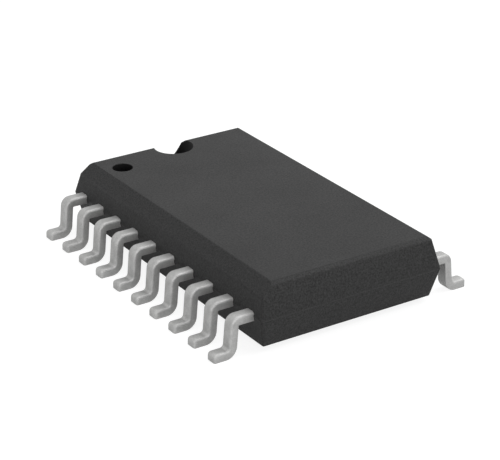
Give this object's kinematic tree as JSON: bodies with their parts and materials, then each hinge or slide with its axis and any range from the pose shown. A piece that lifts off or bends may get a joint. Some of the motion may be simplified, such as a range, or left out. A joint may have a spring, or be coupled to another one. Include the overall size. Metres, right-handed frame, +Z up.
{
  "type": "soic chip",
  "caption": "Wide small-outline integrated circuit package: dark moulded body with a bevelled long edge, end notch and pin 1 dimple, on two rows of formed gull-wing leads.",
  "frame": {"origin": "on the seating plane, under the middle of the package", "axes": "+Z up from the board, +Y along the body towards the notched end, -X towards the row of leads that holds pin 1"},
  "size_m": [0.0106, 0.013, 0.0025],
  "materials": {
    "mould_compound": "fine spark-eroded texture from the mould, polished in the dimple and notch",
    "tinned_lead": "matte tin plate over a stamped copper alloy strip",
    "copper_alloy": "bare stamped copper alloy",
    "silver_epoxy": "cured silver-filled adhesive",
    "silicon": "polished silicon",
    "gold_wire": "drawn gold wire"
  },
  "bodies": {
    "root": {"mould_body": "mould_compound", "lead_1": "tinned_lead", "lead_2": "tinned_lead", "lead_3": "tinned_lead", "lead_4": "tinned_lead", "lead_5": "tinned_lead", "lead_6": "tinned_lead", "lead_7": "tinned_lead", "lead_8": "tinned_lead", "lead_9": "tinned_lead", "lead_10": "tinned_lead", "lead_11": "tinned_lead", "lead_12": "tinned_lead", "lead_13": "tinned_lead", "lead_14": "tinned_lead", "lead_15": "tinned_lead", "lead_16": "tinned_lead", "lead_17": "tinned_lead", "lead_18": "tinned_lead", "lead_19": "tinned_lead", "lead_20": "tinned_lead", "die_pad": "copper_alloy", "die_attach": "silver_epoxy", "silicon_die": "silicon", "bond_wire_1": "gold_wire", "bond_wire_2": "gold_wire", "bond_wire_3": "gold_wire", "bond_wire_4": "gold_wire", "bond_wire_5": "gold_wire", "bond_wire_6": "gold_wire", "bond_wire_7": "gold_wire", "bond_wire_8": "gold_wire", "bond_wire_9": "gold_wire", "bond_wire_10": "gold_wire", "bond_wire_11": "gold_wire", "bond_wire_12": "gold_wire", "bond_wire_13": "gold_wire", "bond_wire_14": "gold_wire", "bond_wire_15": "gold_wire", "bond_wire_16": "gold_wire", "bond_wire_17": "gold_wire", "bond_wire_18": "gold_wire", "bond_wire_19": "gold_wire", "bond_wire_20": "gold_wire"}
  },
  "joints": []
}
